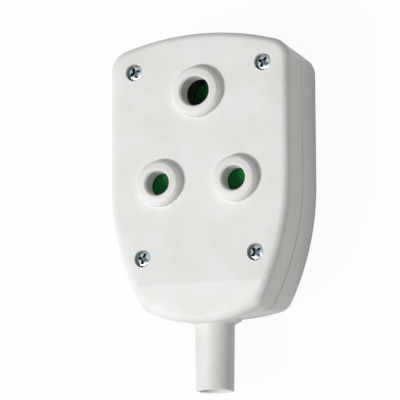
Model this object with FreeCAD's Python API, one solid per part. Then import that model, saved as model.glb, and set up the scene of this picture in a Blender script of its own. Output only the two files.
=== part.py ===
import FreeCAD, Part
import math
import os

# Inline (trailing) socket for a round three-pin plug, lying on its back.
# +Z points out of the socket face, +Y towards the domed top, +X to the right
# seen from the front. The origin is on the back face, under the midpoint of
# the two line holes. All sizes are millimetres.

Vec = FreeCAD.Vector
SIDES = (-1, 1)

# Plug that the socket takes
PIN_SPACING = 25.4
EARTH_RISE = 28.6
LINE_PIN_R = 3.53
LINE_PIN_LENGTH = 18.6
EARTH_PIN_R = 4.355
EARTH_PIN_LENGTH = 28.6

# Housing outline on the face plane, measured from the line through the line holes
HALF_WIDTH = 30.2
TOP_RISE = 48.15
FOOT_DROP = 44.9
DOME_R = 86.0
SHOULDER_R = 7.0
FLANK_R = 86.0
FLANK_START = 2.0
FOOT_CORNER_R = 5.5
FOOT_R = 37.0
FOOT_BACK_R = 80.0

# Housing depth and walls
PARTING_Z = 15.5
SIDE_TAPER = 0.8
FOOT_TAPER = 4.6
WALL = 2.5
FACE_WALL = 3.0
BACK_WALL = 2.5
FACE_EDGE_R = 3.0
BACK_BEVEL = 1.0
FOOT_BEVEL_RISE = 12.9
FOOT_BEVEL_DEG = 7.0
FOOT_BEVEL_TURN = 4.0
SEAM_BEVEL = 0.3
LIP_HEIGHT = 1.5
LIP_THICKNESS = 1.0
LIP_CLEARANCE = 0.2

# Flat sides of posts, bars and clips, and of screw heads
POST_SIDE_COUNT = 8
HEAD_SIDE_COUNT = 12

# Raised collars round the pin holes
COLLAR_HEIGHT = 3.0
COLLAR_RING = 3.5
COLLAR_EDGE_R = 2.0
COLLAR_EDGE_STEPS = 3
MOUTH_BEVEL = 0.5
PIN_CLEARANCE = 0.37

# Cover screws and their bosses
TOP_SCREW_INSET = 8.5
TOP_SCREW_DROP = 11.45
LOW_SCREW_INSET = 11.4
LOW_SCREW_RISE = 21.5
SCREW_R = 1.45
SCREW_LENGTH = 21.0
SCREW_HEAD_R = 2.45
SCREW_HEAD_HEIGHT = 1.8
SCREW_SUNK = 0.9
SLOT_WIDTH = 0.8
SLOT_DEPTH = 0.9
HEAD_CLEARANCE = 0.3
SHANK_CLEARANCE = 0.25
THREAD_CLEARANCE = 0.05
BOSS_WALL = 1.8

# Shutter behind the face, its tray and its return spring
TRAVEL = 8.6
SLIDE_GAP = 0.3
SHUTTER_THICKNESS = 2.0
BLADE_HALF = 4.7
SHUTTER_TOP_Y = 20.0
STEM_WIDTH = 5.4
STEM_CLEARANCE = 0.25
RAMP_HALF = 2.9
RAMP_DROP = 7.0
RAMP_NOSE = 1.0
RAMP_FOOT = 3.0
RAMP_TURN_DEG = 9.0
TRAY_THICKNESS = 2.0
TRAY_HALF_WIDTH = 21.5
RAIL_WIDTH = 2.4
TRAP_GAP = 0.05
TRAY_HOLE_PLAY = 0.6
SPIGOT_DEPTH = 1.6
SPRING_Y = 12.5
SPRING_R = 1.2
SPRING_WIRE = 0.44
SPRING_LENGTH = 15.0
SPRING_TURNS = 6
SPRING_STEPS = 10
SPRING_PLAY = 0.3
SPRING_SEAT = 0.1
PEG_LENGTH = 2.0
PEG_X = 5.0

# Brass contacts with their clips and terminals
CONTACT_CLEARANCE = 0.06
SLEEVE_WALL = 1.0
CONTACT_FLOOR = 1.0
LINE_TIP_ROOM = 5.9
EARTH_TIP_ROOM = 0.9
SLIT_WIDTH = 0.8
SLIT_FOOT = 5.0
TERMINAL_WIDTH = 7.0
TERMINAL_REACH = 7.0
TERMINAL_HEIGHT = 7.5
WIRE_HOLE_HALF = 1.7
WIRE_HOLE_RISE = 3.0
TERMINAL_SCREW_R = 1.45
TERMINAL_HEAD_R = 2.5
TERMINAL_HEAD_HEIGHT = 1.6
CLIP_THICKNESS = 0.5
CLIP_HEIGHT = 3.5
CLIP_DROP = 1.2
CLIP_GAP = 2.0
CLIP_CLEARANCE = 0.03
SEAT_CLEARANCE = 0.15
TOWER_WALL = 1.5
EARTH_TOWER_HEIGHT = 9.0
RAMP_ROOM = 0.8

# Cord entry, guard sleeve and clamp
ENTRY_WALL = 3.2
GUARD_BORE_R = 4.7
GUARD_R = 6.3
GUARD_LENGTH = 21.2
FLANGE_R = 8.4
FLANGE_THICKNESS = 1.2
ENTRY_CLEARANCE = 0.15
ENTRY_RISE = 2.7
CLAMP_HALF_WIDTH = 12.5
CLAMP_WIDTH = 7.0
CLAMP_RISE = 7.2
CLAMP_EAR = 3.0
CLAMP_ARCH = 2.2
CLAMP_GAP = 0.3
CLAMP_SCREW_INSET = 3.7
CLAMP_SCREW_LENGTH = 11.0

# Values that follow from the driving sizes
DOME_Y = TOP_RISE - DOME_R
FLANK_X = HALF_WIDTH - FLANK_R
SHOULDER_X = HALF_WIDTH - SHOULDER_R
SHOULDER_TURN = math.acos(SHOULDER_X / (DOME_R - SHOULDER_R))
SHOULDER_Y = DOME_Y + (DOME_R - SHOULDER_R) * math.sin(SHOULDER_TURN)
FOOT_BEVEL_Y = FOOT_BEVEL_RISE - FOOT_DROP
TOP_SCREW_X = HALF_WIDTH - TOP_SCREW_INSET
TOP_SCREW_Y = TOP_RISE - TOP_SCREW_DROP
LOW_SCREW_X = HALF_WIDTH - LOW_SCREW_INSET
LOW_SCREW_Y = LOW_SCREW_RISE - FOOT_DROP
LINE_X = PIN_SPACING / 2
LINE_HOLE_R = LINE_PIN_R + PIN_CLEARANCE
EARTH_HOLE_R = EARTH_PIN_R + PIN_CLEARANCE
COLLAR_TOP = BACK_WALL + CONTACT_FLOOR + EARTH_TIP_ROOM + EARTH_PIN_LENGTH
FACE_Z = COLLAR_TOP - COLLAR_HEIGHT
FACE_INNER = FACE_Z - FACE_WALL
BOSS_R = SCREW_R + SHANK_CLEARANCE + BOSS_WALL
HEAD_SEAT = FACE_Z - SCREW_SUNK - SCREW_HEAD_HEIGHT
SHUTTER_TOP = FACE_INNER - SLIDE_GAP
SHUTTER_BOTTOM = SHUTTER_TOP - SHUTTER_THICKNESS
TRAY_TOP = SHUTTER_BOTTOM - SLIDE_GAP
TRAY_BOTTOM = TRAY_TOP - TRAY_THICKNESS
SHUTTER_HALF_WIDTH = LINE_X + BLADE_HALF
STEM_LEFT = EARTH_PIN_R + STEM_CLEARANCE
STEM_RIGHT = STEM_LEFT + STEM_WIDTH
RAMP_BOTTOM = SHUTTER_TOP - RAMP_DROP - RAMP_NOSE
RAMP_EDGE = EARTH_PIN_R / math.cos(math.radians(RAMP_TURN_DEG))
SPRING_LEFT = PEG_X - SPRING_LENGTH - SPRING_SEAT
SPRING_Z = TRAY_TOP + SPRING_R - SPRING_PLAY
LINE_SLEEVE_R = LINE_PIN_R + CONTACT_CLEARANCE + SLEEVE_WALL
EARTH_SLEEVE_R = EARTH_PIN_R + CONTACT_CLEARANCE + SLEEVE_WALL
LINE_FLOOR = COLLAR_TOP - LINE_PIN_LENGTH - LINE_TIP_ROOM - CONTACT_FLOOR
LINE_SLEEVE_TOP = TRAY_BOTTOM - SPIGOT_DEPTH - SLIDE_GAP
EARTH_SLEEVE_TOP = RAMP_BOTTOM - RAMP_ROOM
CLIP_OVER = CLIP_CLEARANCE + CLIP_THICKNESS
CORNER = math.cos(math.pi / POST_SIDE_COUNT)
LINE_TOWER_BORE = (LINE_SLEEVE_R + CLIP_OVER) / CORNER + SEAT_CLEARANCE
EARTH_TOWER_BORE = (EARTH_SLEEVE_R + CLIP_OVER) / CORNER + SEAT_CLEARANCE
ENTRY_OUTER_Y = ENTRY_RISE - FOOT_DROP
ENTRY_INNER_Y = ENTRY_OUTER_Y + ENTRY_WALL
GUARD_END_Y = ENTRY_OUTER_Y - FLANGE_THICKNESS - GUARD_LENGTH
CLAMP_Y = ENTRY_INNER_Y + CLAMP_RISE
CLAMP_SPLIT = PARTING_Z + CLAMP_GAP
CLAMP_SCREW_X = CLAMP_HALF_WIDTH - CLAMP_SCREW_INSET
PAST = 1.0
TOUCH = 1e-4

SCREW_PLACES = (
    ("top_left", -TOP_SCREW_X, TOP_SCREW_Y),
    ("top_right", TOP_SCREW_X, TOP_SCREW_Y),
    ("low_left", -LOW_SCREW_X, LOW_SCREW_Y),
    ("low_right", LOW_SCREW_X, LOW_SCREW_Y),
)
PIN_HOLES = (
    (-LINE_X, 0.0, LINE_HOLE_R),
    (LINE_X, 0.0, LINE_HOLE_R),
    (0.0, EARTH_RISE, EARTH_HOLE_R),
)
# Name, place, pin radius, floor and top of each contact
CONTACTS = (
    ("live", LINE_X, 0.0, LINE_PIN_R, LINE_FLOOR, LINE_SLEEVE_TOP),
    ("neutral", -LINE_X, 0.0, LINE_PIN_R, LINE_FLOOR, LINE_SLEEVE_TOP),
    ("earth", 0.0, EARTH_RISE, EARTH_PIN_R, BACK_WALL, EARTH_SLEEVE_TOP),
)


def rod(radius, x, y, low, high):
    """Upright cylinder between two heights."""
    return Part.makeCylinder(radius, high - low, Vec(x, y, low))


def rod_y(radius, low, high, x=0.0, z=PARTING_Z):
    """Cylinder along Y, on the cord's axis unless placed elsewhere."""
    return Part.makeCylinder(radius, high - low, Vec(x, low, z), Vec(0, 1, 0))


def block(x0, x1, y0, y1, z0, z1):
    """Box between two corners."""
    return Part.makeBox(x1 - x0, y1 - y0, z1 - z0, Vec(x0, y0, z0))


def facet(corners):
    """Flat face between straight edges."""
    return Part.Face(Part.makePolygon(corners + corners[:1]))


def prism_y(points, y0, y1):
    """Straight-sided profile in X and Z, extruded along Y."""
    return facet([Vec(x, y0, z) for x, z in points]).extrude(Vec(0, y1 - y0, 0))


def post(radius, x, y, low, high, flats=POST_SIDE_COUNT):
    """Upright bar with flat sides whose corners lie on a circle."""
    turns = [math.tau * (step + 0.5) / flats for step in range(flats)]
    corners = [Vec(x + radius * math.cos(t), y + radius * math.sin(t), low) for t in turns]
    return facet(corners).extrude(Vec(0, 0, high - low))


def turned(points, x, y):
    """Profile of radii and heights, turned about an upright axis."""
    section = facet([Vec(x + radius, y, z) for radius, z in points])
    return section.revolve(Vec(x, y, 0), Vec(0, 0, 1), 360)


def joined(first, *others):
    """One clean solid from several that meet."""
    return first.fuse(list(others)).removeSplitter()


def edges_where(shape, test):
    """Edges whose two ends and middle all pass a test."""
    def points(edge):
        first, last = edge.ParameterRange
        return [edge.valueAt(t) for t in (first, (first + last) / 2, last)]
    return [edge for edge in shape.Edges if all(test(p) for p in points(edge))]


def lower_meeting(left, left_r, right, right_r):
    """Lower of the two points that lie at set distances from a left and a right centre."""
    apart = left.distanceToPoint(right)
    way = (right - left) / apart
    along = (left_r ** 2 - right_r ** 2 + apart ** 2) / (2 * apart)
    across = math.sqrt(left_r ** 2 - along ** 2)
    return left + way * along + Vec(way.y, -way.x, 0) * across


def half_outline(height, inset):
    """Arcs down the right of the outline at a height, moved inwards, by three points each."""
    lean = 1 - height / FACE_Z
    side = inset + SIDE_TAPER * lean
    flank_r = FLANK_R - side
    corner_r = FOOT_CORNER_R - inset
    foot_full = FOOT_R + (FOOT_BACK_R - FOOT_R) * lean
    foot_r = foot_full - inset
    flank = Vec(FLANK_X, FLANK_START, 0)
    foot = Vec(0, foot_full - FOOT_DROP + FOOT_TAPER * lean, 0)
    corner = lower_meeting(flank, flank_r - corner_r, foot, foot_r - corner_r)
    flank_turn = math.atan2(corner.y - flank.y, corner.x - flank.x)
    foot_turn = math.atan2(corner.y - foot.y, corner.x - foot.x)
    arcs = (
        (0, DOME_Y, DOME_R - side, math.pi / 2, SHOULDER_TURN),
        (SHOULDER_X, SHOULDER_Y, SHOULDER_R - side, SHOULDER_TURN, 0),
        (flank.x, flank.y, flank_r, 0, flank_turn),
        (corner.x, corner.y, corner_r, flank_turn, foot_turn),
        (foot.x, foot.y, foot_r, foot_turn, -math.pi / 2),
    )
    found = []
    for x, y, radius, first, last in arcs:
        turns = (first, (first + last) / 2, last)
        found.append([Vec(x + radius * math.cos(t), y + radius * math.sin(t), height) for t in turns])
    return found


def outline(height, inset):
    """All arcs of the outline, round from the top of the dome."""
    right = half_outline(height, inset)
    left = [[Vec(-p.x, p.y, p.z) for p in reversed(points)] for points in reversed(right)]
    return right + left


def curved_ring(height, inset):
    """Outer outline at a height, moved inwards where an edge is bevelled."""
    arcs = outline(height, inset)
    edges = []
    for points, after in zip(arcs, arcs[1:] + arcs[:1]):
        edges.append(Part.Arc(*points).toShape())
        if points[-1].distanceToPoint(after[0]) > TOUCH:
            edges.append(Part.makeLine(points[-1], after[0]))
    return Part.Wire(edges)


def straight_ring(height, inset):
    """Inner outline at a height, its arcs in straight steps."""
    corners = []
    for points in outline(height, inset):
        corners += [p for p in points if not corners or p.distanceToPoint(corners[-1]) > TOUCH]
    return Part.makePolygon(corners)


def housing(*levels):
    """Outer form of a cover through outlines at some heights and insets."""
    return Part.makeLoft([curved_ring(*level) for level in levels], True, True)


def room(low, high, inset):
    """Space inside the housing between two heights."""
    return Part.makeLoft([straight_ring(low, inset), straight_ring(high, inset)], True, True)


def bosses(low, high):
    """Four screw bosses between two heights."""
    return [post(BOSS_R, x, y, low, high) for _, x, y in SCREW_PLACES]


def face_rim(body, slope):
    """Edges round all faces that lean back from the front by less than an angle."""
    seen = {}
    for face in body.Faces:
        u0, u1, v0, v1 = face.ParameterRange
        if face.normalAt((u0 + u1) / 2, (v0 + v1) / 2).z > math.cos(slope):
            for edge in face.Edges:
                seen.setdefault(edge.hashCode(), []).append(edge)
    return [edges[0] for edges in seen.values() if len(edges) == 1]


def round_rim(body):
    """Front edge rounded in three straight steps."""
    turn = math.pi / 8
    body = body.makeChamfer(FACE_EDGE_R * (1 - math.tan(turn)), face_rim(body, 2 * turn))
    step = FACE_EDGE_R * (math.tan(turn) - math.tan(turn / 2))
    return body.makeChamfer(step, face_rim(body, turn) + face_rim(body, 3 * turn))


def front_block():
    """Outer form of the front cover: bevelled foot, rounded front edge, seam bevel."""
    body = housing((PARTING_Z, SEAM_BEVEL), (PARTING_Z + SEAM_BEVEL, 0), (FACE_Z, 0))
    hinge = Vec(0, FOOT_BEVEL_Y, FACE_Z)
    bevel = block(-HALF_WIDTH, HALF_WIDTH, -2 * FOOT_DROP, hinge.y, FACE_Z, COLLAR_TOP + FACE_WALL)
    bevel.rotate(hinge, Vec(1, 0, 0), FOOT_BEVEL_DEG)
    body = body.cut(bevel)
    turn = edges_where(body, lambda p: abs(p.y - hinge.y) < TOUCH and abs(p.z - FACE_Z) < TOUCH)
    body = body.makeFillet(FOOT_BEVEL_TURN, turn)
    return round_rim(body)


def collar(x, y, hole_r):
    """Raised collar, its outer edge rounded in short straight steps."""
    outer = hole_r + COLLAR_RING
    profile = [(0, COLLAR_TOP), (0, FACE_INNER), (outer, FACE_INNER)]
    for step in range(COLLAR_EDGE_STEPS + 1):
        turn = math.radians(90 * step / COLLAR_EDGE_STEPS)
        radius = outer - COLLAR_EDGE_R * (1 - math.cos(turn))
        profile.append((radius, COLLAR_TOP - COLLAR_EDGE_R * (1 - math.sin(turn))))
    return turned(profile, x, y)


def pin_hole(x, y, hole_r):
    """Pin hole with a bevelled mouth."""
    low = FACE_INNER - PAST
    bevel = COLLAR_TOP - MOUTH_BEVEL
    mouth = hole_r + MOUTH_BEVEL
    return turned([(0, low), (hole_r, low), (hole_r, bevel), (mouth, COLLAR_TOP), (0, COLLAR_TOP)], x, y)


def screw_way(x, y):
    """Head recess and clearance hole of a cover screw."""
    recess = rod(SCREW_HEAD_R + HEAD_CLEARANCE, x, y, HEAD_SEAT, FACE_Z + PAST)
    return recess.fuse(post(SCREW_R + SHANK_CLEARANCE, x, y, PARTING_Z - PAST, FACE_Z))


def entry_boss():
    """Thick round pad that flattens the foot wall round the cord entry."""
    return rod_y(FLANGE_R + ENTRY_CLEARANCE, ENTRY_OUTER_Y, ENTRY_INNER_Y)


def entry_way():
    """Neck hole and the two flats that the guard's flanges bear on."""
    reach = FLANGE_R + ENTRY_CLEARANCE
    neck = rod_y(GUARD_R + ENTRY_CLEARANCE, ENTRY_OUTER_Y - PAST, ENTRY_INNER_Y + PAST)
    outside = rod_y(reach, -FOOT_DROP - PAST, ENTRY_OUTER_Y)
    inside = rod_y(reach, ENTRY_INNER_Y, ENTRY_INNER_Y + FLANGE_THICKNESS + PAST)
    return [neck, outside, inside]


def front_cover():
    """Moulded front half with the face, collars, bosses and the lip rebate."""
    shell = front_block().cut(room(PARTING_Z - PAST, FACE_INNER, WALL))
    rebate_top = PARTING_Z + LIP_HEIGHT + LIP_CLEARANCE
    shell = shell.cut(room(PARTING_Z - PAST, rebate_top, WALL - LIP_THICKNESS - LIP_CLEARANCE))
    upper = block(-HALF_WIDTH, HALF_WIDTH, -FOOT_DROP, TOP_RISE, PARTING_Z, FACE_INNER)
    shell = joined(shell, entry_boss().common(upper), *bosses(PARTING_Z, FACE_INNER))
    shell = joined(shell, *[collar(*hole) for hole in PIN_HOLES])
    shell = shell.cut([pin_hole(*hole) for hole in PIN_HOLES])
    shell = shell.cut([screw_way(x, y) for _, x, y in SCREW_PLACES])
    return shell.cut(entry_way())


def tower(x, y, bore_r, floor, top):
    """Moulded pocket that holds a contact, open towards its terminal."""
    reach = (bore_r + TOWER_WALL) / CORNER
    ring = post(reach, x, y, BACK_WALL - PAST, top)
    ring = ring.cut(post(bore_r, x, y, floor, top))
    half = TERMINAL_WIDTH / 2 + SEAT_CLEARANCE
    return ring.cut(block(x - half, x + half, y - reach - PAST, y, floor, top))


def pedestal(x, y, sleeve_r, floor):
    """Rib under a contact's terminal block."""
    half = TERMINAL_WIDTH / 2
    return block(x - half, x + half, y - sleeve_r - TERMINAL_REACH, y, BACK_WALL - PAST, floor)


def clamp_saddle():
    """Ribbed rest for the cord under its clamp."""
    near = CLAMP_Y - CLAMP_WIDTH / 2
    far = CLAMP_Y + CLAMP_WIDTH / 2
    rest = block(-CLAMP_HALF_WIDTH, CLAMP_HALF_WIDTH, near, far, BACK_WALL - PAST, PARTING_Z)
    rest = rest.cut(rod_y(GUARD_BORE_R, near, far))
    low = CLAMP_SPLIT + CLAMP_EAR - CLAMP_SCREW_LENGTH - PAST
    pilot_r = SCREW_R + THREAD_CLEARANCE
    return rest.cut([post(pilot_r, s * CLAMP_SCREW_X, CLAMP_Y, low, PARTING_Z) for s in SIDES])


def rear_block():
    """Outer form of the rear cover: bevelled back edge and seam bevel."""
    back = [(0, BACK_BEVEL), (BACK_BEVEL, 0)]
    return housing(*back, (PARTING_Z - SEAM_BEVEL, 0), (PARTING_Z, SEAM_BEVEL))


def rear_cover():
    """Moulded back half with the lip, bosses, contact towers and cord saddle."""
    lip_top = PARTING_Z + LIP_HEIGHT
    lip = room(PARTING_Z - PAST, lip_top, WALL - LIP_THICKNESS)
    reach = FLANGE_R + 2 * ENTRY_CLEARANCE
    lip = lip.cut(block(-reach, reach, -FOOT_DROP, ENTRY_INNER_Y + WALL, PARTING_Z, lip_top))
    shell = joined(rear_block(), lip).cut(room(BACK_WALL, lip_top + PAST, WALL))
    lower = block(-HALF_WIDTH, HALF_WIDTH, -FOOT_DROP, TOP_RISE, BACK_WALL, PARTING_Z)
    towers = [
        tower(-LINE_X, 0.0, LINE_TOWER_BORE, LINE_FLOOR, TRAY_BOTTOM),
        tower(LINE_X, 0.0, LINE_TOWER_BORE, LINE_FLOOR, TRAY_BOTTOM),
        tower(0.0, EARTH_RISE, EARTH_TOWER_BORE, BACK_WALL, BACK_WALL + EARTH_TOWER_HEIGHT),
        pedestal(-LINE_X, 0.0, LINE_SLEEVE_R, LINE_FLOOR),
        pedestal(LINE_X, 0.0, LINE_SLEEVE_R, LINE_FLOOR),
    ]
    posts = bosses(BACK_WALL - PAST, PARTING_Z)
    shell = joined(shell, entry_boss().common(lower), clamp_saddle(), *towers, *posts)
    tip = HEAD_SEAT - SCREW_LENGTH - PAST
    shell = shell.cut([post(SCREW_R + THREAD_CLEARANCE, x, y, tip, PARTING_Z) for _, x, y in SCREW_PLACES])
    return shell.cut(entry_way())


def screw(x, y, seat, shank_r, length, head_r, head_height):
    """Slotted screw with a flat round head and a plain shank."""
    top = seat + head_height
    body = joined(post(head_r, x, y, seat, top, HEAD_SIDE_COUNT), post(shank_r, x, y, seat - length, seat))
    half = SLOT_WIDTH / 2
    return body.cut(block(x - head_r, x + head_r, y - half, y + half, top - SLOT_DEPTH, top))


def cover_screw(x, y):
    """Screw that holds the two covers together, with a short cross on its slot."""
    body = screw(x, y, HEAD_SEAT, SCREW_R, SCREW_LENGTH, SCREW_HEAD_R, SCREW_HEAD_HEIGHT)
    top = HEAD_SEAT + SCREW_HEAD_HEIGHT
    half = SLOT_WIDTH / 2
    reach = SCREW_HEAD_R / 2
    return body.cut(block(x - half, x + half, y - reach, y + reach, top - SLOT_DEPTH, top))


def ramp():
    """Sloped nose under the shutter that the earth pin pushes aside."""
    nose_x = RAMP_EDGE - TRAVEL
    nose_z = SHUTTER_TOP - RAMP_DROP
    back_x = STEM_LEFT + RAMP_FOOT
    profile = [
        (RAMP_EDGE, SHUTTER_TOP), (nose_x, nose_z), (nose_x, RAMP_BOTTOM),
        (back_x, RAMP_BOTTOM), (back_x, SHUTTER_TOP),
    ]
    body = prism_y(profile, EARTH_RISE - RAMP_HALF, EARTH_RISE + RAMP_HALF)
    body.rotate(Vec(RAMP_EDGE, EARTH_RISE, 0), Vec(0, 0, 1), -RAMP_TURN_DEG)
    return body


def shutter():
    """Sliding safety shutter: two blades, a stem and the earth-pin ramp."""
    low, high = SHUTTER_BOTTOM, SHUTTER_TOP
    plate = block(-SHUTTER_HALF_WIDTH, SHUTTER_HALF_WIDTH, -BLADE_HALF, SHUTTER_TOP_Y, low, high)
    stem = block(STEM_LEFT, STEM_RIGHT, SHUTTER_TOP_Y - PAST, EARTH_RISE + RAMP_HALF, low, high)
    half = LINE_HOLE_R + SLIDE_GAP
    way_x = LINE_X - TRAVEL
    way = block(way_x - half, way_x + half, -BLADE_HALF - PAST, half, low, high)
    spring_half = SPRING_R + SPRING_PLAY
    slot_end = PEG_X + PEG_LENGTH + SLIDE_GAP
    slot_start = SPRING_LEFT - SPRING_SEAT
    slot = block(slot_start, slot_end, SPRING_Y - spring_half, SPRING_Y + spring_half, low, high)
    return joined(joined(plate, stem).cut([way, slot]), ramp())


def shutter_tray():
    """Plate behind the shutter with its rails, stop, spring peg and locating spigots."""
    left = -TRAY_HALF_WIDTH
    low_edge = -BLADE_HALF - SLIDE_GAP - RAIL_WIDTH
    high_edge = SHUTTER_TOP_Y + SLIDE_GAP + RAIL_WIDTH
    rail_top = FACE_INNER - TRAP_GAP
    plate = block(left, TRAY_HALF_WIDTH, low_edge, high_edge, TRAY_BOTTOM, TRAY_TOP)
    low_rail = block(left, TRAY_HALF_WIDTH, low_edge, low_edge + RAIL_WIDTH, TRAY_TOP, rail_top)
    rail_end = STEM_LEFT - SLIDE_GAP
    high_rail = block(left, rail_end, high_edge - RAIL_WIDTH, high_edge, TRAY_TOP, rail_top)
    stop = block(left, -SHUTTER_HALF_WIDTH - SLIDE_GAP, low_edge, high_edge, TRAY_TOP, rail_top)
    half = SPRING_R + SPRING_PLAY
    peg_half = half - SPRING_PLAY
    peg_end = PEG_X + PEG_LENGTH
    peg = block(PEG_X, peg_end, SPRING_Y - peg_half, SPRING_Y + peg_half, TRAY_BOTTOM, SHUTTER_TOP)
    spigot_r = LINE_TOWER_BORE - SEAT_CLEARANCE
    spigots = [post(spigot_r, s * LINE_X, 0, TRAY_BOTTOM - SPIGOT_DEPTH, TRAY_TOP) for s in SIDES]
    trough = block(SPRING_LEFT, PEG_X, SPRING_Y - half, SPRING_Y + half, SPRING_Z - half, TRAY_TOP)
    tray = joined(plate.cut(trough), low_rail, high_rail, stop, peg, *spigots)
    hole_r = LINE_PIN_R + TRAY_HOLE_PLAY
    return tray.cut([rod(hole_r, s * LINE_X, 0, TRAY_BOTTOM - SPIGOT_DEPTH, TRAY_TOP) for s in SIDES])


def shutter_spring():
    """Compression spring that holds the shutter over the line holes."""
    half = SPRING_WIRE / 2
    coil_r = SPRING_R - half
    steps = SPRING_TURNS * SPRING_STEPS
    pitch = (SPRING_LENGTH - SPRING_WIRE) / steps
    turns = [math.tau * step / SPRING_STEPS for step in range(steps + 1)]
    axis = Vec(SPRING_LEFT + half, SPRING_Y, SPRING_Z)
    spots = [(pitch * i, coil_r * math.cos(t), coil_r * math.sin(t)) for i, t in enumerate(turns)]
    path = Part.makePolygon([axis + Vec(*spot) for spot in spots])
    start = axis + Vec(*spots[0])
    corners = [(-half, -half), (half, -half), (half, half), (-half, half), (-half, -half)]
    section = Part.makePolygon([start + Vec(x, y, 0) for x, y in corners])
    return path.makePipeShell([section], True, False, 1)


def contact(x, y, pin_r, floor, top):
    """Split brass sleeve with a terminal block."""
    bore_r = pin_r + CONTACT_CLEARANCE
    sleeve_r = bore_r + SLEEVE_WALL
    half = TERMINAL_WIDTH / 2
    end = y - sleeve_r - TERMINAL_REACH
    terminal = block(x - half, x + half, end, y, floor, floor + TERMINAL_HEIGHT)
    body = joined(rod(sleeve_r, x, y, floor, top), terminal)
    slit = block(x - SLIT_WIDTH / 2, x + SLIT_WIDTH / 2, y, y + sleeve_r + PAST, floor + SLIT_FOOT, top)
    rise = floor + WIRE_HOLE_RISE
    reach = WIRE_HOLE_HALF
    wire = block(x - reach, x + reach, end, end + TERMINAL_REACH, rise - reach, rise + reach)
    thread_r = TERMINAL_SCREW_R + THREAD_CLEARANCE
    thread = post(thread_r, x, end + TERMINAL_REACH / 2, floor + WIRE_HOLE_RISE, floor + TERMINAL_HEIGHT)
    return body.cut([rod(bore_r, x, y, floor + CONTACT_FLOOR, top), slit, wire, thread])


def contact_clip(x, y, pin_r, top):
    """Bent steel strip that springs the split sleeve onto the pin."""
    inner = pin_r + CONTACT_CLEARANCE + SLEEVE_WALL + CLIP_CLEARANCE
    outer = inner + CLIP_THICKNESS
    high = top - CLIP_DROP
    low = high - CLIP_HEIGHT
    ring = post(outer / CORNER, x, y, low, high).cut(post(inner / CORNER, x, y, low, high))
    return ring.cut(block(x, x + outer + PAST, y - CLIP_GAP / 2, y + CLIP_GAP / 2, low, high))


def terminal_screw(x, y, pin_r, floor):
    """Screw that clamps a wire in a terminal block."""
    end = y - pin_r - CONTACT_CLEARANCE - SLEEVE_WALL - TERMINAL_REACH
    length = TERMINAL_HEIGHT - WIRE_HOLE_RISE
    seat = floor + TERMINAL_HEIGHT
    middle = end + TERMINAL_REACH / 2
    return screw(x, middle, seat, TERMINAL_SCREW_R, length, TERMINAL_HEAD_R, TERMINAL_HEAD_HEIGHT)


def cord_clamp():
    """Arched bar that presses the cord onto its saddle."""
    near = CLAMP_Y - CLAMP_WIDTH / 2
    far = CLAMP_Y + CLAMP_WIDTH / 2
    ear_top = CLAMP_SPLIT + CLAMP_EAR
    arch_r = GUARD_BORE_R + CLAMP_ARCH
    bar = block(-CLAMP_HALF_WIDTH, CLAMP_HALF_WIDTH, near, far, CLAMP_SPLIT, ear_top)
    above = block(-CLAMP_HALF_WIDTH, CLAMP_HALF_WIDTH, near, far, CLAMP_SPLIT, PARTING_Z + arch_r)
    bar = joined(bar, rod_y(arch_r, near, far).common(above))
    hole_r = SCREW_R + SHANK_CLEARANCE
    holes = [post(hole_r, s * CLAMP_SCREW_X, CLAMP_Y, CLAMP_SPLIT, ear_top) for s in SIDES]
    return bar.cut([rod_y(GUARD_BORE_R, near, far)] + holes)


def clamp_screw(side):
    """Screw that pulls the clamp down."""
    seat = CLAMP_SPLIT + CLAMP_EAR
    x = side * CLAMP_SCREW_X
    return screw(x, CLAMP_Y, seat, SCREW_R, CLAMP_SCREW_LENGTH, TERMINAL_HEAD_R, TERMINAL_HEAD_HEIGHT)


def cord_guard():
    """Sleeve with two flanges that grip the foot wall, turned about the cord's axis."""
    inner_end = ENTRY_INNER_Y + FLANGE_THICKNESS
    flange_low = ENTRY_OUTER_Y - FLANGE_THICKNESS
    profile = [
        (GUARD_BORE_R, inner_end), (GUARD_BORE_R, GUARD_END_Y),
        (GUARD_R, GUARD_END_Y), (GUARD_R, flange_low),
        (FLANGE_R, ENTRY_OUTER_Y), (GUARD_R, ENTRY_OUTER_Y),
        (GUARD_R, ENTRY_INNER_Y), (FLANGE_R, ENTRY_INNER_Y), (FLANGE_R, inner_end),
    ]
    body = turned(profile, 0, 0)
    body.rotate(Vec(0, 0, 0), Vec(1, 0, 0), -90)
    body.translate(Vec(0, 0, PARTING_Z))
    return body


def nodes():
    """Every piece of the socket by its name."""
    pieces = {
        "front_cover": front_cover(),
        "rear_cover": rear_cover(),
        "cord_guard": cord_guard(),
        "cord_clamp": cord_clamp(),
        "clamp_screw_left": clamp_screw(-1),
        "clamp_screw_right": clamp_screw(1),
        "shutter": shutter(),
        "shutter_tray": shutter_tray(),
        "shutter_spring": shutter_spring(),
    }
    for name, x, y in SCREW_PLACES:
        pieces["cover_screw_" + name] = cover_screw(x, y)
    for name, x, y, pin_r, floor, top in CONTACTS:
        pieces[name + "_contact"] = contact(x, y, pin_r, floor, top)
        pieces[name + "_contact_clip"] = contact_clip(x, y, pin_r, top)
        pieces[name + "_terminal_screw"] = terminal_screw(x, y, pin_r, floor)
    return pieces


def main():
    """Write one file for each piece."""
    os.makedirs("parts", exist_ok=True)
    for name, shape in nodes().items():
        shape.exportStep("parts/" + name + ".step")


main()
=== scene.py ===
"""Dresses an inline socket connector that lies on its back: materials, fine pieces, studio and camera."""

from __future__ import annotations

import logging
import math
from dataclasses import dataclass, field
from enum import Enum

import bmesh
import bpy
from mathutils import Matrix, Vector


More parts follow.
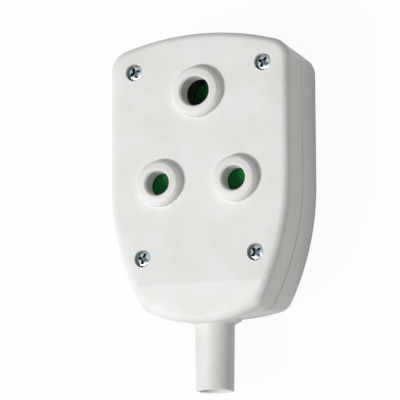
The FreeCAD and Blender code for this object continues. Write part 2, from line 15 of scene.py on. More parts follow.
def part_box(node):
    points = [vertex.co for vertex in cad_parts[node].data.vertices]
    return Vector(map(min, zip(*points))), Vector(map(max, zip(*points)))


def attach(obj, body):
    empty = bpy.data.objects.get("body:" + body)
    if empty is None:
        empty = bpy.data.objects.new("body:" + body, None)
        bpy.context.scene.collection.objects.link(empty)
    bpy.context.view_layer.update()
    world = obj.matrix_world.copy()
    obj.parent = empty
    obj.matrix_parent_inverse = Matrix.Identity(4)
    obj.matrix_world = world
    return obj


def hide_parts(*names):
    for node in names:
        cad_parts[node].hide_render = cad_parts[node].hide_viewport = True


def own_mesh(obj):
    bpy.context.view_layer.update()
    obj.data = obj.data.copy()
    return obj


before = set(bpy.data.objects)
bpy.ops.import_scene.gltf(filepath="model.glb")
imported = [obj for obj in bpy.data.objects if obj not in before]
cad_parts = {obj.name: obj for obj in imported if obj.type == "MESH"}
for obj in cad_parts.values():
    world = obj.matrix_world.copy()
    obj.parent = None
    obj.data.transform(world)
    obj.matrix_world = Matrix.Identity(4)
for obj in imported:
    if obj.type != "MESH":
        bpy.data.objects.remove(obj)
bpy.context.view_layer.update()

LOG = logging.getLogger("inline_socket")
MM = 0.001
HOUSING = "housing"
WHITE = (1.0, 1.0, 1.0, 1.0)
PLASTIC_IOR = 1.49
# Noise values between which a pattern goes from one end to the other
DRIFT_RANGE = (0.35, 0.65)
GRAIN_RANGE = (0.3, 0.7)
# Distances in metres within which points become one: turned profiles, copied solids and cut screws
TURNED_GAP = 1e-7
SOLID_GAP = 1e-6
CUT_GAP = 4e-6


# Small helpers

def linear(tone: str) -> tuple[float, float, float, float]:
    """Turn an sRGB hex tone into the linear colour that a shader takes.

    Args:
        tone: Six hex digits after a hash sign.

    Returns:
        Linear red, green, blue and an alpha of one.
    """
    parts = [int(tone[i:i + 2], 16) / 255 for i in (1, 3, 5)]
    steps = [c / 12.92 if c <= 0.04045 else ((c + 0.055) / 1.055) ** 2.4 for c in parts]
    return (*steps, 1.0)


def add(tree: bpy.types.NodeTree, kind: str, inputs: dict | None = None, **settings: object) -> bpy.types.Node:
    """Add a node with its settings, values and links.

    Args:
        tree: The tree that gets the node.
        kind: Blender's name for the node.
        inputs: Value, or socket to link from, for each input by name or place.
        **settings: Properties of the node itself.

    Returns:
        The new node.
    """
    node = tree.nodes.new(kind)
    for key, value in settings.items():
        setattr(node, key, value)
    for key, value in (inputs or {}).items():
        if isinstance(value, bpy.types.NodeSocket):
            tree.links.new(value, node.inputs[key])
        else:
            node.inputs[key].default_value = value
    return node


def per_mm(size: float) -> float:
    """Give the texture scale whose features are a real size in millimetres."""
    return 1 / (size * MM)


def show(name: str, mesh: bpy.types.Mesh) -> bpy.types.Object:
    """Put a mesh into the scene as an object at the origin.

    Args:
        name: Name of the object.
        mesh: Mesh that it shows.

    Returns:
        The new object.
    """
    piece = bpy.data.objects.new(name, mesh)
    bpy.context.scene.collection.objects.link(piece)
    return piece


def settle(piece: bpy.types.Object) -> None:
    """Turn the result of a piece's modifiers into its plain mesh.

    Args:
        piece: Object whose modifiers are finished.
    """
    graph = bpy.context.evaluated_depsgraph_get()
    mesh = bpy.data.meshes.new_from_object(piece.evaluated_get(graph))
    piece.modifiers.clear()
    piece.data = mesh


def weld(mesh: bpy.types.Mesh, gap: float) -> None:
    """Join points of a mesh that lie together.

    Args:
        mesh: Mesh to change.
        gap: Largest distance in metres between points that become one.
    """
    form = bmesh.new()
    form.from_mesh(mesh)
    bmesh.ops.remove_doubles(form, verts=form.verts, dist=gap)
    form.to_mesh(mesh)
    form.free()


def lathe(name: str, profile: list[tuple[float, float]], sides: int, closed: bool = False) -> bpy.types.Mesh:
    """Turn a profile about the upright axis.

    Args:
        name: Name of the mesh.
        profile: Radius and height of each point in millimetres.
        sides: Segments round the axis.
        closed: Whether the last point joins the first, as in a ring.

    Returns:
        A closed mesh with outward faces.
    """
    form = bmesh.new()
    edge = [form.verts.new((radius * MM, 0, height * MM)) for radius, height in profile]
    after = edge[1:] + edge[:1] if closed else edge[1:]
    lines = [form.edges.new(pair) for pair in zip(edge, after)]
    bmesh.ops.spin(form, geom=edge + lines, axis=(0, 0, 1), steps=sides, angle=math.tau)
    bmesh.ops.remove_doubles(form, verts=form.verts, dist=TURNED_GAP)
    bmesh.ops.recalc_face_normals(form, faces=form.faces)
    mesh = bpy.data.meshes.new(name)
    form.to_mesh(mesh)
    form.free()
    mesh.shade_smooth()
    return mesh


def dress(mesh: bpy.types.Mesh, finish: Finish) -> None:
    """Give a mesh one finish all over.

    Args:
        mesh: Mesh whose slots are filled anew.
        finish: Finish that it gets.
    """
    mesh.materials.clear()
    mesh.materials.append(finish.material())


# Finishes

@dataclass(frozen=True)
class Finish:
    """A material and the way its surface was made.

    Attributes:
        name: Common name and process.
        tone: Main colour.
        shade: Second colour that the surface drifts to.
        roughness: Middle roughness.
        spread: How far the roughness wanders to each side.
        mottle_mm: Size of the colour drift.
        grain_mm: Size of the surface grain.
        grain_depth_mm: Height of the surface grain.
        shine: Level of the clear reflection on top of the colour.
    """

    name: str
    tone: str
    shade: str
    roughness: float
    spread: float
    mottle_mm: float
    grain_mm: float
    grain_depth_mm: float
    shine: float = 0.5

    def material(self) -> bpy.types.Material:
        """Build the material, or give the one that is there already.

        Returns:
            Material with this finish's colour, roughness and bump.
        """
        found = bpy.data.materials.get(self.name)
        if found:
            return found
        made = bpy.data.materials.new(self.name)
        made.use_nodes = True
        tree = made.node_tree
        shader = tree.nodes["Principled BSDF"]
        place = add(tree, "ShaderNodeTexCoord").outputs["Object"]
        self.colour(tree, shader, place)
        self.surface(tree, shader, place)
        self.body(shader)
        return made

    def colour(self, tree: bpy.types.NodeTree, shader: bpy.types.Node, place: bpy.types.NodeSocket) -> None:
        """Let the colour drift between the tone and the shade.

        Args:
            tree: The material's tree.
            shader: Its main shader.
            place: Object coordinates.
        """
        drift = add(tree, "ShaderNodeTexNoise", {"Vector": place, "Scale": per_mm(self.mottle_mm), "Detail": 4.0})
        low, high = DRIFT_RANGE
        share = add(tree, "ShaderNodeMapRange", {"Value": drift.outputs[0], 1: low, 2: high})
        tones = {0: share.outputs[0], 6: linear(self.shade), 7: linear(self.tone)}
        blend = add(tree, "ShaderNodeMix", tones, data_type="RGBA")
        tree.links.new(blend.outputs[2], shader.inputs["Base Color"])

    def surface(self, tree: bpy.types.NodeTree, shader: bpy.types.Node, place: bpy.types.NodeSocket) -> None:
        """Give the surface its grain.

        Args:
            tree: The material's tree.
            shader: Its main shader.
            place: Object coordinates.
        """
        grain = add(tree, "ShaderNodeTexNoise", {"Vector": place, "Scale": per_mm(self.grain_mm), "Detail": 3.0})
        low, high = GRAIN_RANGE
        limits = {1: low, 2: high, 3: self.roughness - self.spread, 4: self.roughness + self.spread}
        gloss = add(tree, "ShaderNodeMapRange", {"Value": grain.outputs[0], **limits})
        tree.links.new(gloss.outputs[0], shader.inputs["Roughness"])
        relief = {"Height": grain.outputs[0], "Strength": 1.0, "Distance": self.grain_depth_mm * MM}
        bump = add(tree, "ShaderNodeBump", relief)
        tree.links.new(bump.outputs[0], shader.inputs["Normal"])

    def body(self, shader: bpy.types.Node) -> None:
        """Set what is the same all over the surface."""
        shader.inputs["IOR"].default_value = PLASTIC_IOR
        shader.inputs["Specular IOR Level"].default_value = self.shine


@dataclass(frozen=True)
class SeamedFinish(Finish):
    """A moulding with painted shade in the groove where it meets its other half.

    Attributes:
        groove_shade: Colour of the painted shade in the groove.
        seam_mm: Height of the groove's bottom.
        reach_mm: How far the painted shade reaches to each side.
        faint_mm: Place along the housing above which the painted shade is faintest.
        darkest_mm: Place along the housing below which the painted shade is full.
        least: Share of painted shade in the faint part.
    """

    # Colour of the painted shade in the groove
    groove_shade: str = "#BBBAB5"
    seam_mm: float = 15.5
    reach_mm: float = 0.3
    faint_mm: float = 22.0
    darkest_mm: float = -22.0
    least: float = 0.25

    def colour(self, tree: bpy.types.NodeTree, shader: bpy.types.Node, place: bpy.types.NodeSocket) -> None:
        """Let the colour drift, and darken it along the groove as painted shade.

        Args:
            tree: The material's tree.
            shader: Its main shader.
            place: Object coordinates.
        """
        super().colour(tree, shader, place)
        unshaded = shader.inputs["Base Color"].links[0].from_socket
        # A thin band along the groove is darkened, more towards the foot: painted shade
        axes = add(tree, "ShaderNodeSeparateXYZ", {0: place}).outputs
        level = {0: axes["Z"], 1: self.seam_mm * MM, 2: self.reach_mm * MM}
        near = add(tree, "ShaderNodeMath", level, operation="COMPARE").outputs[0]
        along = {"Value": axes["Y"], 1: self.faint_mm * MM, 2: self.darkest_mm * MM, 3: self.least, 4: 1.0}
        amount = add(tree, "ShaderNodeMapRange", along).outputs[0]
        share = add(tree, "ShaderNodeMath", {0: near, 1: amount}, operation="MULTIPLY").outputs[0]
        groove_shaded = add(tree, "ShaderNodeMix", {0: share, 6: unshaded, 7: linear(self.groove_shade)}, data_type="RGBA")
        tree.links.new(groove_shaded.outputs[2], shader.inputs["Base Color"])


@dataclass(frozen=True)
class Metal(Finish):
    """A bare or plated metal."""

    def body(self, shader: bpy.types.Node) -> None:
        """Make the surface metallic."""
        shader.inputs["Metallic"].default_value = 1.0


# Moulded polypropylene: satin white with a spark-eroded grain, a faint drift of tone and painted shade along the
# seam;
# the grain is drawn coarser than the real tenth of a millimetre, so that it shows
COVER_WHITE = SeamedFinish(
    "polypropylene_moulded_satin", "#EBEBEA", "#E5E5E3", roughness=0.5, spread=0.06,
    mottle_mm=9.0, grain_mm=0.8, grain_depth_mm=0.035, shine=0.4,
)
# The other finishes' grain is drawn coarser too: on the real pieces it is a few hundredths of a millimetre

# Soft moulded PVC: smoother and a little darker than the covers
GUARD_WHITE = Finish(
    "soft_pvc_moulded", "#E2E2E0", "#DCDCDA", roughness=0.5, spread=0.05,
    mottle_mm=9.0, grain_mm=0.7, grain_depth_mm=0.006, shine=0.4,
)
# Glass-filled nylon: plain dull white, used inside
CLAMP_WHITE = Finish(
    "nylon_moulded_dull", "#DCDCD6", "#D3D3CC", roughness=0.55, spread=0.06,
    mottle_mm=6.0, grain_mm=0.6, grain_depth_mm=0.01,
)
# Moulded ABS: deep green with a soft, weak shine
SHUTTER_GREEN = Finish(
    "abs_moulded_green", "#175F2E", "#145528", roughness=0.55, spread=0.05,
    mottle_mm=5.0, grain_mm=0.5, grain_depth_mm=0.006, shine=0.06,
)
# Moulded ABS: black, left as it came from the mould
TRAY_BLACK = Finish(
    "abs_moulded_black", "#0B0A0A", "#080707", roughness=0.6, spread=0.06,
    mottle_mm=6.0, grain_mm=0.5, grain_depth_mm=0.008, shine=0.08,
)
# Zinc-plated steel: cool bright grey, with the fine ripple that plating leaves, drawn coarse so that it shows
SCREW_ZINC = Metal(
    "steel_zinc_plated", "#C8D1D3", "#9AA5A8", roughness=0.24, spread=0.08,
    mottle_mm=0.9, grain_mm=0.7, grain_depth_mm=0.06,
)
# The same plating in a driver's recess, made darker there as painted shade
RECESS_SHADE_ZINC = Metal(
    "steel_zinc_recess_shade", "#7F8C96", "#47535D", roughness=0.3, spread=0.08,
    mottle_mm=0.6, grain_mm=0.5, grain_depth_mm=0.03,
)
# Turned brass: yellow, dulled in patches
CONTACT_BRASS = Metal(
    "brass_turned", "#D8B56A", "#C39A4C", roughness=0.32, spread=0.08,
    mottle_mm=2.5, grain_mm=0.3, grain_depth_mm=0.004,
)
# Spring steel: grey drawn wire and strip
SPRING_STEEL = Metal(
    "spring_steel_drawn", "#9A9DA1", "#84878C", roughness=0.34, spread=0.08,
    mottle_mm=1.5, grain_mm=0.3, grain_depth_mm=0.003,
)


class Drive(Enum):
    """What a screw's head takes."""

    SLOT = "slot"
    CROSS = "cross"


# Sub-assemblies

@dataclass
class InnerPieces:
    """Pieces behind the face that show their own solids.

    Attributes:
        finishes: Finish of each node.
    """

    finishes: dict[str, Finish] = field(default_factory=lambda: {
        "cord_clamp": CLAMP_WHITE,
        "shutter": SHUTTER_GREEN,
        "shutter_tray": TRAY_BLACK,
        "live_contact": CONTACT_BRASS,
        "neutral_contact": CONTACT_BRASS,
        "earth_contact": CONTACT_BRASS,
        "live_contact_clip": SPRING_STEEL,
        "neutral_contact_clip": SPRING_STEEL,
        "earth_contact_clip": SPRING_STEEL,
    })

    def dress(self) -> None:
        """Give each node its material."""
        for name, finish in self.finishes.items():
            dress(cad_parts[name].data, finish)
            LOG.info("%s: %s", name, finish.name)


@dataclass
class Cover:
    """One half of the housing, its stepped rims shaded as round edges.

    Attributes:
        node: Solid that the cover is copied from.
        finish: Finish of the moulding.
        sharp_deg: Turn between two faces from which an edge stays sharp.
    """

    node: str
    finish: Finish = COVER_WHITE
    sharp_deg: float = 26.0

    def build(self) -> bpy.types.Object:
        """Make the cover in place of its solid.

        Returns:
            The finished piece, riding on the housing.
        """
        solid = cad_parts[self.node]
        mesh = solid.data.copy()
        mesh.transform(solid.matrix_world)
        piece = show(self.node + "_moulding", mesh)
        self.merge(mesh)
        dress(mesh, self.finish)
        even = piece.modifiers.new("even", "WEIGHTED_NORMAL")
        even.keep_sharp = True
        settle(piece)
        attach(piece, HOUSING)
        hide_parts(self.node)
        LOG.info("%s: %d faces", piece.name, len(piece.data.polygons))
        return piece

    def merge(self, mesh: bpy.types.Mesh) -> None:
        """Join the mesh's seams and mark the edges that stay sharp.

        Args:
            mesh: Copy of the solid's mesh.
        """
        weld(mesh, SOLID_GAP)
        if "custom_normal" in mesh.attributes:
            mesh.attributes.remove(mesh.attributes["custom_normal"])
        mesh.shade_smooth()
        mesh.set_sharp_from_angle(angle=math.radians(self.sharp_deg))


@dataclass
class CordGuard:
    """Soft sleeve below the foot, with a flange on each side of the wall.

    Attributes:
        node: Solid that the sleeve stands for.
        bore_mm: Radius of the bore.
        sleeve_mm: Radius of the sleeve where it leaves the flange.
        end_mm: Radius of the sleeve at its end.
        flange_mm: Radius of the flanges.
        lip_mm: Thickness of a flange.
        wall_mm: Thickness of the wall between the flanges.
        sides: Segments round the sleeve.
        sharp_deg: Turn between two faces from which an edge stays sharp.
    """

    node: str = "cord_guard"
    bore_mm: float = 4.7
    sleeve_mm: float = 6.3
    end_mm: float = 6.0
    flange_mm: float = 8.4
    lip_mm: float = 1.2
    wall_mm: float = 3.2
    sides: int = 96
    sharp_deg: float = 40.0

    def build(self) -> bpy.types.Object:
        """Make the sleeve in place of its solid.

        Returns:
            The finished piece, riding on the housing.
        """
        low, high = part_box(self.node)
        mesh = lathe("cord_sleeve", self.profile((high.y - low.y) / MM), self.sides, closed=True)
        middle = (low + high) / 2
        start = Vector((middle.x, high.y, middle.z))
        mesh.transform(Matrix.Translation(start) @ Matrix.Rotation(-math.pi / 2, 4, "X"))
        mesh.set_sharp_from_angle(angle=math.radians(self.sharp_deg))
        dress(mesh, GUARD_WHITE)
        piece = show("cord_sleeve", mesh)
        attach(piece, HOUSING)
        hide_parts(self.node)
        LOG.info("cord_sleeve: %d faces", len(mesh.polygons))
        return piece

    def profile(self, length: float) -> list[tuple[float, float]]:
        """Draw half of the sleeve's section, from its inner end to its outer one and back.

        Args:
            length: Length of the whole sleeve in millimetres.

        Returns:
            Radius and height of each point; the inner end is at height zero.
        """
        inner = -self.lip_mm
        outer = inner - self.wall_mm
        foot = outer - self.lip_mm
        bore, sleeve, end, flange = self.bore_mm, self.sleeve_mm, self.end_mm, self.flange_mm
        # Each edge is eased by a few tenths of a millimetre
        return [
            (bore, 0.0), (flange - 0.2, 0.0), (flange, -0.2), (flange, inner), (sleeve, inner),
            (sleeve, outer), (flange - 0.1, outer), (flange, outer - 0.06), (flange - 0.05, outer - 0.2),
            (sleeve + 0.6, foot + 0.22), (sleeve + 0.2, foot), (sleeve, foot - 0.4),
            (end, 0.5 - length), (end - 0.08, 0.2 - length), (end - 0.35, -length),
            (bore + 0.3, -length), (bore, 0.3 - length),
        ]


@dataclass
class ScrewSet:
    """Like screws, set in place of their solids.

    Attributes:
        name: Name of the finished piece.
        nodes: Solids that the screws stand for.
        drive: What the heads take.
        turns: Turn of each head in degrees, as it was left when driven home.
        head_mm: Radius of a head.
        head_height_mm: Height of a head.
        shank_mm: Radius of a shank.
        crown_mm: Height of the head's dome.
        sides: Segments round a head.
        dome_step_deg: Turn between two rings of the dome.
        point: Radius of the tip, as a share of the shank's.
        sharp_deg: Turn between two faces from which an edge stays sharp.
        arm: Half width of the recess, as a share of the head's radius, as the next three are.
        waist: How far a cross is open between its arms.
        cross_reach: Length of a cross's arm.
        slot_reach: Half length of a slot.
        depth: Depth of the recess, as a share of the head's height.
        taper: Size of the recess at its floor and above the head, against its stated size.
    """

    name: str
    nodes: tuple[str, ...]
    drive: Drive
    turns: tuple[float, ...]
    head_mm: float = 2.5
    head_height_mm: float = 1.6
    shank_mm: float = 1.45
    crown_mm: float = 0.5
    sides: int = 64
    dome_step_deg: int = 15
    point: float = 0.3
    sharp_deg: float = 30.0
    arm: float = 0.17
    waist: float = 0.22
    cross_reach: float = 0.7
    slot_reach: float = 1.2
    depth: float = 0.75
    taper: tuple[float, float] = (0.7, 1.25)

    def build(self) -> bpy.types.Object:
        """Make the screws as one piece.

        Returns:
            The finished piece, riding on the housing.
        """
        screw = self.template()
        mesh = bpy.data.meshes.new(self.name)
        mesh.from_pydata([self.top(node) for node in self.nodes], [], [])
        turn = mesh.attributes.new("turn", "FLOAT", "POINT")
        turn.data.foreach_set("value", [math.radians(t) for t in self.turns])
        piece = show(self.name, mesh)
        self.place(piece, screw)
        settle(piece)
        bpy.data.objects.remove(screw)
        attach(piece, HOUSING)
        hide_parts(*self.nodes)
        LOG.info("%s: %d screws, %d faces", self.name, len(self.nodes), len(piece.data.polygons))
        return piece

    def top(self, node: str) -> Vector:
        """Give the middle of a screw's top.

        Args:
            node: Solid of the screw.

        Returns:
            Point on the screw's axis, level with its highest point.
        """
        low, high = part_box(node)
        middle = (low + high) / 2
        return Vector((middle.x, middle.y, high.z))

    def template(self) -> bpy.types.Object:
        """Make one screw with its top at the origin.

        Returns:
            An object with the turned form, its recess cut in.
        """
        low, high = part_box(self.nodes[0])
        tip = (low.z - high.z) / MM
        head, shank = self.head_mm, self.shank_mm
        profile = [(0.0, 0.0)]
        for degrees in range(self.dome_step_deg, 91, self.dome_step_deg):
            turn = math.radians(degrees)
            profile.append((head * math.sin(turn), self.crown_mm * (math.cos(turn) - 1)))
        profile += [(head, -self.head_height_mm), (shank, -self.head_height_mm)]
        profile += [(shank, tip + shank), (shank * self.point, tip), (0.0, tip)]
        screw = show(self.name + "_one", lathe("screw", profile, self.sides))
        dress(screw.data, SCREW_ZINC)
        cutter = show(self.name + "_bit", self.recess())
        cut = screw.modifiers.new("recess", "BOOLEAN")
        cut.operation = "DIFFERENCE"
        cut.solver = "EXACT"
        cut.material_mode = "TRANSFER"
        cut.object = cutter
        settle(screw)
        bpy.data.objects.remove(cutter)
        mesh = screw.data
        weld(mesh, CUT_GAP)
        mesh.set_sharp_from_angle(angle=math.radians(self.sharp_deg))
        # Mark the faces cut by the recess, which carry its darker zinc: painted shade
        hollow = mesh.attributes.new("recess", "BOOLEAN", "FACE")
        inside = mesh.materials.find(RECESS_SHADE_ZINC.name)
        hollow.data.foreach_set("value", [face.material_index == inside for face in mesh.polygons])
        return screw

    def recess(self) -> bpy.types.Mesh:
        """Make the form that the driver's recess takes out of a head.

        Returns:
            A tapered bar or cross that reaches above the head.
        """
        half = self.head_mm * self.arm
        if self.drive is Drive.SLOT:
            reach = self.head_mm * self.slot_reach
            corners = [(reach, -half), (reach, half), (-reach, half), (-reach, -half)]
        else:
            reach = self.head_mm * self.cross_reach
            waist = self.head_mm * self.waist
            arm = [(waist, -waist), (reach, -half), (reach, half)]
            turns = [Matrix.Rotation(math.radians(90 * i), 2) for i in range(4)]
            corners = [tuple(turn @ Vector(corner)) for turn in turns for corner in arm]
        levels = zip((-self.depth * self.head_height_mm, self.crown_mm), self.taper)
        rings = [[(x * scale * MM, y * scale * MM, z * MM) for x, y in corners] for z, scale in levels]
        count = len(corners)
        walls = [(i, (i + 1) % count, (i + 1) % count + count, i + count) for i in range(count)]
        caps = [tuple(reversed(range(count))), tuple(range(count, 2 * count))]
        mesh = bpy.data.meshes.new("recess")
        mesh.from_pydata(rings[0] + rings[1], [], walls + caps)
        # The darker zinc is painted shade, carried onto the recess faces by the cut
        dress(mesh, RECESS_SHADE_ZINC)
        return mesh

    def place(self, piece: bpy.types.Object, screw: bpy.types.Object) -> None:
        """Set a copy of the screw on each point of the piece.

        Args:
            piece: Object whose points are the screws' tops.
            screw: The screw to copy.
        """
        tree = bpy.data.node_groups.new(self.name + "_setting", "GeometryNodeTree")
        sides = tree.interface
        sides.new_socket("Places", in_out="INPUT", socket_type="NodeSocketGeometry")
        screw_in = sides.new_socket("Screw", in_out="INPUT", socket_type="NodeSocketObject")
        finish_in = sides.new_socket("Finish", in_out="INPUT", socket_type="NodeSocketMaterial")
        hollow_in = sides.new_socket("Recess Finish", in_out="INPUT", socket_type="NodeSocketMaterial")
        sides.new_socket("Screws", in_out="OUTPUT", socket_type="NodeSocketGeometry")
        given = add(tree, "NodeGroupInput").outputs
        form = add(tree, "GeometryNodeObjectInfo", {"Object": given["Screw"]})
        turn = add(tree, "GeometryNodeInputNamedAttribute", {"Name": "turn"}, data_type="FLOAT")
        euler = add(tree, "ShaderNodeCombineXYZ", {"Z": turn.outputs[0]})
        facing = add(tree, "FunctionNodeEulerToRotation", {0: euler.outputs[0]})
        inputs = {"Points": given["Places"], "Instance": form.outputs["Geometry"], "Rotation": facing.outputs[0]}
        copies = add(tree, "GeometryNodeInstanceOnPoints", inputs)
        real = add(tree, "GeometryNodeRealizeInstances", {0: copies.outputs[0]})
        plated = add(tree, "GeometryNodeSetMaterial", {"Geometry": real.outputs[0], "Material": given["Finish"]})
        # The recess faces get the darker zinc: painted shade
        hollow = add(tree, "GeometryNodeInputNamedAttribute", {"Name": "recess"}, data_type="BOOLEAN")
        recess_shaded = {"Geometry": plated.outputs[0], "Selection": hollow.outputs[0], "Material": given["Recess Finish"]}
        done = add(tree, "GeometryNodeSetMaterial", recess_shaded)
        add(tree, "NodeGroupOutput", {"Screws": done.outputs[0]})
        setting = piece.modifiers.new("setting", "NODES")
        setting.node_group = tree
        setting[screw_in.identifier] = screw
        setting[finish_in.identifier] = SCREW_ZINC.material()
        setting[hollow_in.identifier] = RECESS_SHADE_ZINC.material()


@dataclass
class ReturnSpring:
    """Round-wire coil that closes the shutter.

    Attributes:
        node: Solid that the coil stands for.
        turns: Turns of wire.
        wire_mm: Diameter of the wire.
        travel_mm: How far the shutter presses it together; not used.
        steps: Points along one turn.
        wire_sides: Segments round the wire.
    """

    node: str = "shutter_spring"
    turns: float = 10.0
    wire_mm: float = 0.42
    travel_mm: float = 8.6
    steps: int = 28
    wire_sides: int = 10

    def build(self) -> bpy.types.Object:
        """Make the coil in place of its solid.

        Returns:
            The finished piece.
        """
        low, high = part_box(self.node)
        piece = show("return_spring", bpy.data.meshes.new("return_spring"))
        self.wind(piece, low, high)
        settle(piece)
        piece.data.shade_smooth()
        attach(piece, HOUSING)
        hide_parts(self.node)
        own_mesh(piece)
        LOG.info("return_spring: %.0f turns", self.turns)
        return piece

    def wind(self, piece: bpy.types.Object, low: Vector, high: Vector) -> None:
        """Wind the wire between the ends of the solid's box.

        Args:
            piece: Object that gets the coil.
            low: Lowest corner of the box.
            high: Highest corner of the box.
        """
        wire = self.wire_mm * MM / 2
        tree = bpy.data.node_groups.new("spring_winding", "GeometryNodeTree")
        sizes = {
            "Turns": self.turns,
            "Coil Radius": (high.y - low.y) / 2 - wire,
            "Length": high.x - low.x - 2 * wire,
            "Wire Radius": wire,
        }
        names = {}
        for label in sizes:
            names[label] = tree.interface.new_socket(label, in_out="INPUT", socket_type="NodeSocketFloat")
        start_in = tree.interface.new_socket("Start", in_out="INPUT", socket_type="NodeSocketVector")
        finish_in = tree.interface.new_socket("Finish", in_out="INPUT", socket_type="NodeSocketMaterial")
        tree.interface.new_socket("Coil", in_out="OUTPUT", socket_type="NodeSocketGeometry")
        given = add(tree, "NodeGroupInput").outputs
        shape = {
            "Resolution": self.steps,
            "Rotations": given["Turns"],
            "Start Radius": given["Coil Radius"],
            "End Radius": given["Coil Radius"],
            "Height": given["Length"],
        }
        path = add(tree, "GeometryNodeCurveSpiral", shape)
        round_wire = {"Resolution": self.wire_sides, "Radius": given["Wire Radius"]}
        section = add(tree, "GeometryNodeCurvePrimitiveCircle", round_wire)
        tube = {"Curve": path.outputs[0], "Profile Curve": section.outputs[0], "Fill Caps": True}
        coil = add(tree, "GeometryNodeCurveToMesh", tube)
        lay = {"Geometry": coil.outputs[0], "Translation": given["Start"], "Rotation": (0.0, math.pi / 2, 0.0)}
        laid = add(tree, "GeometryNodeTransform", lay)
        real = add(tree, "GeometryNodeRealizeInstances", {0: laid.outputs[0]})
        done = add(tree, "GeometryNodeSetMaterial", {"Geometry": real.outputs[0], "Material": given["Finish"]})
        add(tree, "NodeGroupOutput", {"Coil": done.outputs[0]})
        winding = piece.modifiers.new("winding", "NODES")
        winding.node_group = tree
        for label, size in sizes.items():
            winding[names[label].identifier] = size
        middle = (low + high) / 2
        winding[start_in.identifier] = (low.x + wire, middle.y, middle.z)
        winding[finish_in.identifier] = SPRING_STEEL.material()


# Studio

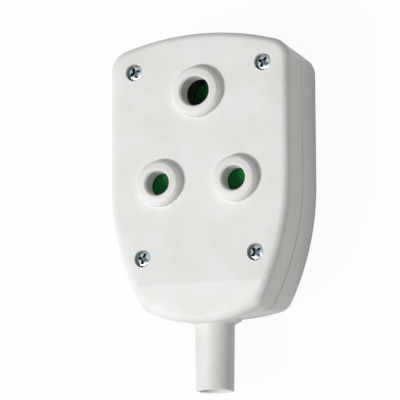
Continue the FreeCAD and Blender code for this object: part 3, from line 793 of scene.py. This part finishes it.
@dataclass
class Studio:
    """White floor, soft light and the camera.

    Attributes:
        aim_mm: Point at the middle of the picture.
        yaw_deg: How far the camera stands to the right.
        pitch_deg: How far the camera stands towards the cord guard.
        roll_deg: How far the camera leans to one side.
        distance_mm: Distance from the camera to the aim.
        width_mm: Width of the picture at the aim.
        key_from: Direction that the main light comes from.
        key_watts: Power of the main light.
        fill_from: Direction that the weaker light comes from, nearly straight down into the holes.
        fill_watts: Power of the weaker light.
        lamp_away: Distance of the lights in metres.
        lamp_size: Width of the lights in metres.
        sky: Brightness of the light from all round.
        sky_tone: Colour of the light from all round.
        floor_reach: Half width of the floor in metres.
        paper_tones: Colours that the floor drifts between.
        fibre_mm: Size of the floor's fibre grain.
        white_share: How much of the floor's look is plain white; the rest takes light and shadow.
        sensor_mm: Width of the camera's sensor.
        far_end: Distance in metres to which the camera sees.
    """

    aim_mm: tuple[float, float, float] = (-5.04, -3.12, 15.0)
    yaw_deg: float = 20.77
    pitch_deg: float = 10.0
    roll_deg: float = -0.25
    distance_mm: float = 900.0
    width_mm: float = 127.48
    key_from: tuple[float, float, float] = (-0.486, -0.38, 0.787)
    key_watts: float = 119.0
    fill_from: tuple[float, float, float] = (0.05, -0.2, 0.98)
    fill_watts: float = 18.0
    lamp_away: float = 4.0
    lamp_size: float = 0.9
    sky: float = 0.208
    sky_tone: str = "#FFFEF9"
    floor_reach: float = 1.5
    paper_tones: tuple[str, str] = ("#DBDBDA", "#E1E1E0")
    fibre_mm: float = 2.0
    white_share: float = 0.95
    sensor_mm: float = 36.0
    far_end: float = 10.0

    def build(self) -> None:
        """Set up the floor, lights and camera."""
        self.floor()
        self.lights()
        self.camera()

    def floor(self) -> None:
        """Lay a white floor that shows a soft shadow."""
        mesh = bpy.data.meshes.new("floor")
        reach = self.floor_reach
        corners = [(-reach, -reach, 0), (reach, -reach, 0), (reach, reach, 0), (-reach, reach, 0)]
        mesh.from_pydata(corners, [], [(0, 1, 2, 3)])
        plane = show("floor", mesh)
        plane.data.materials.append(self.sweep())

    def sweep(self) -> bpy.types.Material:
        """Make the paper that the object lies on.

        Returns:
            A pale material that looks white to the camera.
        """
        # Matt paper: pale, with a faint fibre grain
        paper = bpy.data.materials.new("paper_matt_white")
        paper.use_nodes = True
        tree = paper.node_tree
        tree.nodes.clear()
        place = add(tree, "ShaderNodeTexCoord").outputs["Object"]
        fibre = add(tree, "ShaderNodeTexNoise", {"Vector": place, "Scale": per_mm(self.fibre_mm), "Detail": 4.0})
        dark, pale = self.paper_tones
        tones = {0: fibre.outputs[0], 6: linear(dark), 7: linear(pale)}
        tint = add(tree, "ShaderNodeMix", tones, data_type="RGBA")
        matt = add(tree, "ShaderNodeBsdfDiffuse", {"Color": tint.outputs[2]})
        white = add(tree, "ShaderNodeEmission", {"Color": WHITE, "Strength": 1.0})
        share = add(tree, "ShaderNodeMath", {0: self.seen(tree), 1: self.white_share}, operation="MULTIPLY")
        both = add(tree, "ShaderNodeMixShader", {0: share.outputs[0], 1: matt.outputs[0], 2: white.outputs[0]})
        add(tree, "ShaderNodeOutputMaterial", {"Surface": both.outputs[0]})
        return paper

    def seen(self, tree: bpy.types.NodeTree) -> bpy.types.NodeSocket:
        """Tell rays that show the background from rays that light the object.

        Args:
            tree: Tree that asks.

        Returns:
            One for camera, glossy and transmission rays and zero for others.
        """
        path = add(tree, "ShaderNodeLightPath").outputs
        shiny = {0: path["Is Glossy Ray"], 1: path["Is Transmission Ray"]}
        mirrored = add(tree, "ShaderNodeMath", shiny, operation="MAXIMUM").outputs[0]
        return add(tree, "ShaderNodeMath", {0: path["Is Camera Ray"], 1: mirrored}, operation="MAXIMUM").outputs[0]

    def lights(self) -> None:
        """Light the object from one side, from the front and from all round."""
        world = bpy.data.worlds.new("studio")
        bpy.context.scene.world = world
        world.use_nodes = True
        tree = world.node_tree
        level = tuple(self.sky * part for part in linear(self.sky_tone)[:3])
        tones = {0: self.seen(tree), 6: (*level, 1.0), 7: WHITE}
        blend = add(tree, "ShaderNodeMix", tones, data_type="RGBA")
        tree.links.new(blend.outputs[2], tree.nodes["Background"].inputs["Color"])
        self.lamp("key", self.key_from, self.key_watts)
        self.lamp("fill", self.fill_from, self.fill_watts)

    def lamp(self, name: str, source: tuple[float, float, float], watts: float) -> None:
        """Hang a round soft lamp that faces the object.

        Args:
            name: Name of the lamp.
            source: Direction that its light comes from.
            watts: Its power.
        """
        glow = bpy.data.lights.new(name, "AREA")
        glow.shape = "DISK"
        glow.size = self.lamp_size
        glow.energy = watts
        lamp = bpy.data.objects.new(name, glow)
        toward = Vector(source).normalized()
        lamp.location = Vector(self.aim_mm) * MM + toward * self.lamp_away
        lamp.rotation_euler = toward.to_track_quat("Z", "Y").to_euler()
        bpy.context.scene.collection.objects.link(lamp)

    def camera(self) -> None:
        """Stand the camera where the picture was taken from."""
        yaw, pitch = math.radians(self.yaw_deg), math.radians(self.pitch_deg)
        back = Vector((math.sin(yaw) * math.cos(pitch), -math.sin(pitch), math.cos(yaw) * math.cos(pitch)))
        right = Vector((0, 1, 0)).cross(back).normalized()
        up = back.cross(right)
        lens = bpy.data.cameras.new("camera")
        lens.sensor_width = self.sensor_mm
        lens.lens = self.sensor_mm * self.distance_mm / self.width_mm
        lens.clip_end = self.far_end
        eye = bpy.data.objects.new("camera", lens)
        lean = Matrix.Rotation(math.radians(self.roll_deg), 4, "Z")
        turn = Matrix((right, up, back)).transposed().to_4x4() @ lean
        eye.matrix_world = Matrix.Translation(Vector(self.aim_mm) * MM + back * self.distance_mm * MM) @ turn
        bpy.context.scene.collection.objects.link(eye)
        bpy.context.scene.camera = eye
        bpy.context.scene.view_settings.view_transform = "Standard"


def main() -> None:
    """Build the dressed socket and its studio."""
    logging.basicConfig(level=logging.INFO, format="%(message)s")
    InnerPieces().dress()
    for node in ("front_cover", "rear_cover"):
        Cover(node).build()
    CordGuard().build()
    places = ("top_left", "top_right", "low_left", "low_right")
    covers = tuple("cover_screw_" + place for place in places)
    turns = (24.0, 62.0, -18.0, 40.0)
    ScrewSet("cover_screws", covers, Drive.CROSS, turns, head_mm=2.45, head_height_mm=1.8).build()
    terminals = tuple(line + "_terminal_screw" for line in ("live", "neutral", "earth"))
    ScrewSet("terminal_screws", terminals, Drive.SLOT, (12.0, 75.0, -30.0)).build()
    clamps = ("clamp_screw_left", "clamp_screw_right")
    ScrewSet("clamp_screws", clamps, Drive.SLOT, (50.0, -20.0)).build()
    ReturnSpring().build()
    Studio().build()


if __name__ == "__main__":
    main()
